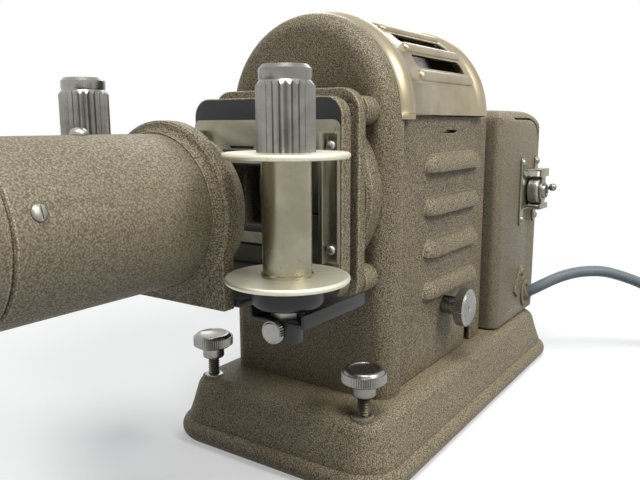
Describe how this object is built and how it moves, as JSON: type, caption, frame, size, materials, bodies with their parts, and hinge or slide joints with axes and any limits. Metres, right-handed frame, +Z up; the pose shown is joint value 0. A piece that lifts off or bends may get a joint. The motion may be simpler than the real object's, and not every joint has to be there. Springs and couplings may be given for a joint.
{
  "type": "filmstrip projector",
  "caption": "Table-top 35 mm filmstrip and slide projector with louvred lamp house, hinged slotted top cover, twin film spools, blower box and focusing lens.",
  "frame": {"origin": "centre of the base's footprint, on the underside of the bottom plate", "axes": "+Z up; the lens points along -Y; the switch and the mains lead are on the +X side; X = 0 is the plane through the lens axis"},
  "size_m": [0.2968, 0.4283, 0.1918],
  "materials": {
    "paint": "brown wrinkle-finish enamel",
    "black_enamel": "black enamel",
    "nickel": "satin nickel plate, slightly yellowed",
    "steel": "plated steel",
    "bright_aluminium": "turned and knurled",
    "brass": "satin",
    "mirror": "polished",
    "glass": "clear",
    "black_plastic": "moulded",
    "black_rubber": "moulded",
    "cord_rubber": "smooth grey-blue rubber"
  },
  "bodies": {
    "projector": {"base_pan": "paint", "bottom_plate": "black_enamel", "deck_screws": "steel", "screw_bushings": "steel", "front_shell": "paint", "side_panel_right": "paint", "side_panel_left": "paint", "rear_wall": "paint", "hinge_leaf": "nickel", "hinge_pin": "steel", "lamp_bulb": "glass", "lamp_base": "brass", "lamp_socket": "black_plastic", "socket_bracket": "steel", "reflector": "mirror", "condenser_barrel": "paint", "condenser_lenses": "glass", "mounting_posts": "paint", "rear_plate": "paint", "channel_rails": "black_enamel", "front_plate": "black_enamel", "gate_plate": "nickel", "film_guides": "nickel", "gate_screws": "steel", "pressure_studs": "steel", "head_shelf": "black_enamel", "lens_bracket": "paint", "lens_sleeve": "paint", "lens_screws": "steel", "spool_arms": "black_enamel", "spool_spindles": "steel", "spool_seats": "black_enamel", "brake_screws": "bright_aluminium", "blower_box": "paint", "back_cover": "paint", "blower_motor": "steel", "duct_collar": "black_enamel", "switch_bracket": "steel", "switch_body": "bright_aluminium", "cord_clamp": "paint", "cord_lead": "cord_rubber", "cord_coil": "cord_rubber", "plug": "cord_rubber"},
    "right_pad": {"swivel_pad_right": "black_rubber"},
    "right_screw": {"elevating_screw_right": "bright_aluminium"},
    "left_pad": {"swivel_pad_left": "black_rubber"},
    "left_screw": {"elevating_screw_left": "bright_aluminium"},
    "cover": {"top_cover": "nickel"},
    "side_knob": {"panel_screw": "bright_aluminium"},
    "pressure": {"pressure_plate": "black_enamel", "pressure_springs": "nickel"},
    "focus": {"focus_ring": "paint"},
    "lens": {"lens_cell": "black_enamel", "objective_lenses": "glass"},
    "right_spool": {"spool_core_right": "nickel", "spool_flanges_right": "nickel"},
    "left_spool": {"spool_core_left": "nickel", "spool_flanges_left": "nickel"},
    "blower_wheel": {"fan_wheel": "steel"},
    "lever": {"switch_lever": "bright_aluminium"}
  },
  "joints": [
    {"name": "right_elevating_travel", "type": "slide", "parent": "projector", "child": "right_pad", "axis": [0, 0, -1], "range_m": [0, 0.0075]},
    {"name": "right_elevating_turn", "type": "hinge", "parent": "right_pad", "child": "right_screw", "pos_m": [0.0405, -0.0963, 0.0454], "axis": [0, 0, -1], "range_deg": [0, 2547.17]},
    {"name": "left_elevating_travel", "type": "slide", "parent": "projector", "child": "left_pad", "axis": [0, 0, -1], "range_m": [0, 0.0075]},
    {"name": "left_elevating_turn", "type": "hinge", "parent": "left_pad", "child": "left_screw", "pos_m": [-0.0405, -0.0963, 0.0454], "axis": [0, 0, -1], "range_deg": [0, 2547.17]},
    {"name": "cover_hinge", "type": "hinge", "parent": "projector", "child": "cover", "pos_m": [-0.0449, -0.025, 0.1455], "axis": [0, -1, 0], "range_deg": [0, 105]},
    {"name": "side_knob_turn", "type": "hinge", "parent": "projector", "child": "side_knob", "pos_m": [0.0389, -0.017, 0.0562], "axis": [1, 0, 0], "continuous": true},
    {"name": "pressure_plate_travel", "type": "slide", "parent": "projector", "child": "pressure", "axis": [0, -1, 0], "range_m": [0, 0.0015], "stiffness_N_per_m": 400, "springref_m": -0.002},
    {"name": "focus_turn", "type": "hinge", "parent": "projector", "child": "focus", "pos_m": [0, -0.245, 0.1152], "axis": [0, -1, 0], "range_deg": [0, 180]},
    {"name": "lens_travel", "type": "slide", "parent": "projector", "child": "lens", "axis": [0, -1, 0], "range_m": [0, 0.009]},
    {"name": "right_spool_turn", "type": "hinge", "parent": "projector", "child": "right_spool", "pos_m": [0.04685, -0.1538, 0.1153], "axis": [0, 0, 1], "continuous": true},
    {"name": "left_spool_turn", "type": "hinge", "parent": "projector", "child": "left_spool", "pos_m": [-0.04685, -0.1538, 0.1153], "axis": [0, 0, 1], "continuous": true},
    {"name": "blower_turn", "type": "hinge", "parent": "projector", "child": "blower_wheel", "pos_m": [0, 0.0485, 0.07], "axis": [0, 1, 0], "continuous": true},
    {"name": "switch_throw", "type": "hinge", "parent": "projector", "child": "lever", "pos_m": [0.0527, 0.086, 0.104], "axis": [0, 1, 0], "range_deg": [0, 36]}
  ],
  "couplings": [
    {"joint": "right_elevating_turn", "follows": "right_elevating_travel", "rad_per_m": 5927.5},
    {"joint": "left_elevating_turn", "follows": "left_elevating_travel", "rad_per_m": 5927.5},
    {"joint": "lens_travel", "follows": "focus_turn", "m_per_rad": 0.0028648}
  ]
}
